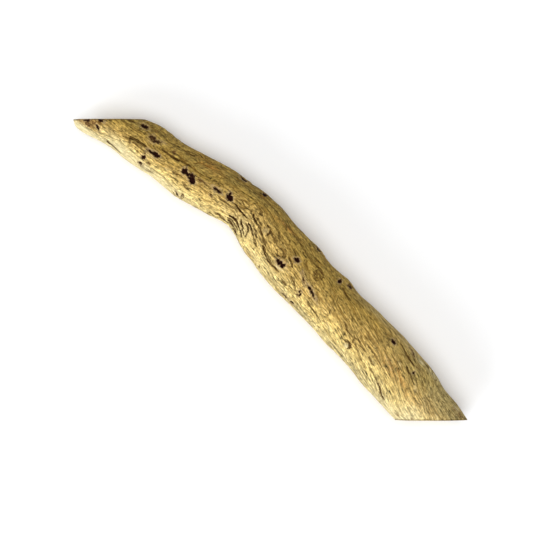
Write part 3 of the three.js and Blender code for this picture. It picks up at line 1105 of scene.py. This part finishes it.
# The tone is the painted light and shade, with patches and streaks that vary at random.
shade_and_tone = attribute(wire, "weather") + 0.22 * (patches - 0.5) + 0.12 * (streaks - 0.5)
colour = wire.make("ShaderNodeValToRGB", {"stops": LIT_TO_SHADE_TONES}, {"Fac": shade_and_tone})
colour = blend(0.4 * fade(streaks, 0.55, 0.7), colour, OCHRE)
stained = attribute(wire, "stain") * fade(streaks + grit, 0.8, 1.15)
colour = blend(stained, colour, RUST)
colour = blend(attribute(wire, "olive"), colour, OLIVE)
# Pale patches, with the painted highlight of the lit flanks.
pale_here = attribute(wire, "pale")
colour = blend(pale_here, colour, PALE)
print("peeled skin starts with", len(skin_finish.node_tree.nodes), "nodes")

# %% [markdown]
# Brown mottling, fibres, grit and a net of thin brown lines lie all along the skin, and cream mottling,
# a painted highlight, lies on the lit side. They are weaker where the skin is pale, in pale patches and
# under the painted highlight of the lit flanks. A line is where a signed field crosses zero: the folds
# and pleats of the mesh, and long threads of noise where the skin is less gathered.

# %% Fibres and wrinkle lines
CREAM_HIGHLIGHT = srgb(236, 218, 164)
BROWN = srgb(88, 60, 14)
GRIT_SPECKLE, FIBRE_SPECKLE = 3.2, 1.8

fibres = stretched_noise(grain_mm, (0.22, 1.6, 1.6), 1)
threads = stretched_noise(grain_mm, (0.11, 1.2, 1.2), 1)
mottle = stretched_noise(grain_mm, (0.2, 0.5, 0.5), 3)
gathered = attribute(wire, "gather")
damped_where_pale = 1 - 0.7 * pale_here
fold_line = thin_line(attribute(wire, "folds"), 0.18, 0.05) * (0.4 + 0.6 * gathered)
pleat_line = thin_line(attribute(wire, "pleats"), 0.16, 0.04) * (0.1 + 0.9 * gathered)
thread_line = thin_line(threads - 0.5, 0.06, 0.015) * (1 - 0.7 * gathered)
wrinkle_lines = wire.math("MAXIMUM", fold_line, 0.8 * pleat_line)
wrinkle_lines = wire.math("MAXIMUM", wrinkle_lines, 0.8 * thread_line)

# Cream mottling is a painted highlight, laid only on the lit side.
lit_side = fade(shade_and_tone, 0.7, 0.35)
colour = blend(0.32 * fade(mottle, 0.55, 0.72) * lit_side, colour, CREAM_HIGHLIGHT)
colour = blend(0.2 * fade(mottle, 0.45, 0.3), colour, BROWN)
colour = blend(0.4 * fade(fibres, 0.54, 0.63) * damped_where_pale, colour, BROWN)
colour = blend(0.74 * wrinkle_lines * damped_where_pale, colour, BROWN)
speckle = 1 + (GRIT_SPECKLE * (grit - 0.5) + FIBRE_SPECKLE * (fibres - 0.5)) * damped_where_pale
colour = wire.make("ShaderNodeVectorMath", {"operation": "SCALE"}, {0: colour, "Scale": speckle})
print("with fibres and lines it has", len(skin_finish.node_tree.nodes), "nodes")

# %% [markdown]
# Greyish rims lie round the darkest scars. The creases come over them, each a soft brown edge with a
# dark middle. Noise frays their edges, breaks them into strokes, and wears the widest ones through.

# %% Rims and creases
RIM_GREY = srgb(184, 160, 122)
CREASE_BROWN = srgb(64, 36, 5)

fray = stretched_noise(grain_mm, (2.0, 2.0, 2.0), 2)
strokes = stretched_noise(grain_mm, (0.45, 0.8, 0.8), 2)
scar_ink = attribute(wire, "ink")
frayed_scar = attribute(wire, "scar") + 0.55 * (fray - 0.5)
rim_band = fade(frayed_scar, 0.1, 0.4) * fade(scar_ink, 0.6, 1.0)
colour = blend(0.5 * rim_band * fade(fray + fibres, 0.7, 1.0), colour, RIM_GREY)

crease_field = attribute(wire, "crease")
frayed_crease = crease_field + 0.16 * (fray - 0.5)
worn = fade(crease_field, 0.55, 0.64) * fade(fibres + grit, 0.9, 1.1)
crease_shade = attribute(wire, "crease_ink") * (0.7 + 0.3 * fade(strokes, 0.38, 0.56))
crease_shade = crease_shade * (1 - 0.6 * worn)
colour = blend(0.4 * fade(frayed_crease, 0.4, 0.5) * crease_shade, colour, BROWN)
crease_core = fade(frayed_crease, 0.45, 0.51) * crease_shade
colour = blend(crease_core, colour, CREASE_BROWN)
print("with creases it has", len(skin_finish.node_tree.nodes), "nodes")

# %% [markdown]
# A scar is brown and flecked at its edge. The inkiest are black inside, and paler ones show a tan heart
# where the side root's own wood was cut. The skin is matt, and grit, fibres, lines and creases also
# give it a fine relief through a Bump node, finer than the mesh could hold.

# %% Scars and relief
SCAR_BROWN = srgb(88, 54, 22)
SCAR_HEART = srgb(150, 116, 70)
SCAR_BLACK = srgb(34, 11, 6)

soft_scar = fade(frayed_scar + 0.3 * (grit - 0.5), 0.3, 0.6)
fleck = 0.6 + 0.4 * fade(grit, 0.6, 0.42)
colour = blend(soft_scar * fade(scar_ink, 0.1, 0.8) * fleck, colour, SCAR_BROWN)
heart = fade(frayed_scar, 0.62, 0.76) * fade(scar_ink, 0.9, 0.7)
colour = blend(0.65 * heart, colour, SCAR_HEART)
scar_core = fade(frayed_scar, 0.42, 0.54)
colour = blend(scar_core * fade(scar_ink, 0.65, 0.95), colour, SCAR_BLACK)
wire.nodes.links.new(colour.socket, skin_shader.inputs["Base Color"])
skin_shader.inputs["Roughness"].default_value = 0.85
skin_shader.inputs["Specular IOR Level"].default_value = 0.06

relief = 0.4 * grit + 0.5 * fibres + 0.1 * streaks - 0.4 * wrinkle_lines
relief = relief - 0.8 * fade(frayed_crease, 0.43, 0.53)
raise_relief(skin_shader, relief, 0.9)
print("peeled skin has", len(skin_finish.node_tree.nodes), "nodes")

# %% [markdown]
# ## The cut flesh
# Where the knife went through, the root is whiter and mealy. Rays run from the middle out to the bark,
# with fine vessels and a few splits between them, and a brown line marks where the bark begins. Noise
# on the net's own directions draws the rays, which no noise in plain X, Y and Z would.

# %% Cut flesh colours
WOOD = srgb(221, 204, 158)
BARK = srgb(206, 184, 134)
RAY_TAN = srgb(184, 158, 104)
FLESH_BROWN = srgb(132, 100, 56)
SPLIT_BROWN = srgb(86, 60, 30)

flesh_finish, flesh_shader, wire = new_finish("cut_flesh")
where = wire.make("ShaderNodeTexCoord", {}, {}, output="Object")
spoke_wire = attribute(wire, "spoke", "Vector")
meal = stretched_noise(where, (1500.0, 1500.0, 1500.0), 4)
blotches = stretched_noise(where, (260.0, 260.0, 260.0), 3)
rays = stretched_noise(spoke_wire, (11.0, 11.0, 1.4), 3, 0.65)
vessels = stretched_noise(spoke_wire, (24.0, 24.0, 26.0), 1)
splits = stretched_noise(spoke_wire, (1.7, 1.7, 0.9), 2)

to_rim = attribute(wire, "rim_share") + 0.16 * (blotches - 0.5) + 0.08 * (rays - 0.5)
inside = fade(to_rim, GROOVE_SHARE + 0.02, GROOVE_SHARE - 0.04)
ring = thin_line(to_rim - GROOVE_SHARE, 0.055, 0.01)
split = thin_line(splits - 0.5, 0.016, 0.004) * fade(to_rim, 0.62, 0.4)
colour = blend(inside, BARK, WOOD)
ray_tan = (0.25 + 0.45 * inside) * fade(rays, 0.48, 0.64)
colour = blend(ray_tan, colour, RAY_TAN)
colour = blend(0.4 * fade(blotches, 0.5, 0.7), colour, RAY_TAN)
browned = [
    0.6 * inside * fade(vessels, 0.6, 0.68),
    0.6 * ring * (0.4 + 0.6 * fade(meal, 0.4, 0.6)),
    0.4 * fade(meal, 0.56, 0.68),
    0.7 * fade(to_rim, 0.92, 1.02),
]
for mask in browned:
    colour = blend(mask, colour, FLESH_BROWN)
colour = blend(0.8 * split, colour, SPLIT_BROWN)
wire.nodes.links.new(colour.socket, flesh_shader.inputs["Base Color"])
print("cut flesh starts with", len(flesh_finish.node_tree.nodes), "nodes")

# %% Cut flesh relief
flesh_shader.inputs["Roughness"].default_value = 0.9
flesh_shader.inputs["Specular IOR Level"].default_value = 0.2
raise_relief(flesh_shader, 0.5 * meal + 0.6 * rays - 0.3 * ring - 0.8 * split, 0.8)
root.data.materials.append(skin_finish)
root.data.materials.append(flesh_finish)
print("cut flesh has", len(flesh_finish.node_tree.nodes), "nodes")

# %% [markdown]
# ## Floor, light and camera
# The root lies on a plain pale floor under a soft sky, which only the camera sees as white. Two broad
# lights stand in for softboxes: one overhead, and one low on the near side that grazes the wrinkles.
# They are suns, because a sun lights the whole length evenly. The camera looks straight down through
# a long lens, turned so that both cuts lie level in the picture.

# %% Floor
FLOOR_SIZE = 6.0

floor_mesh = bpy.data.meshes.new("pale_floor")
floor_bm = bmesh.new()
bmesh.ops.create_grid(floor_bm, x_segments=1, y_segments=1, size=FLOOR_SIZE)
floor_bm.to_mesh(floor_mesh)
floor_bm.free()
floor = bpy.data.objects.new("pale_floor", floor_mesh)
bpy.context.scene.collection.objects.link(floor)
floor_finish, floor_shader, _ = new_finish("pale_floor_paint")
floor_shader.inputs["Base Color"].default_value = (0.93, 0.93, 0.93, 1)
floor_shader.inputs["Roughness"].default_value = 0.9
floor_shader.inputs["Specular IOR Level"].default_value = 0.1
floor_mesh.materials.append(floor_finish)
print(f"floor reaches {FLOOR_SIZE} m each way")

# %% Light
SKY_LIGHT = 0.32
COOL_WHITE = (0.94, 1.0, 1.06)

sky = bpy.data.worlds.new("studio_sky")
sky.use_nodes = True
wire = Wire(sky.node_tree)
background = sky.node_tree.nodes["Background"]
background.inputs["Color"].default_value = (1, 1, 1, 1)
seen_by_camera = wire.make("ShaderNodeLightPath", {}, {}, output="Is Camera Ray")
brightness = SKY_LIGHT + seen_by_camera * (1 - SKY_LIGHT)
wire.nodes.links.new(brightness.socket, background.inputs["Strength"])
bpy.context.scene.world = sky


def sun(name, azimuth, elevation, strength, angle):
    """A broad, even light; azimuth 0 stands on the -Y side and 90 on the +X side."""
    light = bpy.data.lights.new(name, "SUN")
    light.energy = strength
    light.angle = math.radians(angle)
    lamp = bpy.data.objects.new(name, light)
    bpy.context.scene.collection.objects.link(lamp)
    lamp.rotation_euler = (math.radians(90 - elevation), 0, math.radians(azimuth))
    return lamp


overhead = sun("overhead_softbox", azimuth=0, elevation=86, strength=2.18, angle=60)
low_light = sun("low_softbox", azimuth=-2, elevation=16, strength=2.5, angle=50)
low_light.data.color = COOL_WHITE
view = bpy.context.scene.view_settings
view.view_transform = "Standard"
view.look = "None"
print("lights in place:", overhead.name, "and", low_light.name)

# %% Camera
camera_data = bpy.data.cameras.new("camera_above")
camera_data.lens = LENS
camera_data.sensor_width = SENSOR
camera_data.clip_end = 20
camera = bpy.data.objects.new("camera_above", camera_data)
bpy.context.scene.collection.objects.link(camera)
camera.location = EYE * MM
camera.rotation_euler = (0, 0, CUT_ANGLE)
bpy.context.scene.camera = camera
print(f"camera {EYE.z - MIDDLE_HEIGHT:.0f} mm above the root's middle")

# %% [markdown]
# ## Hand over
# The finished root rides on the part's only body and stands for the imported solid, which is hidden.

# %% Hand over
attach(root, "root")
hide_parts("marshmallow_root")
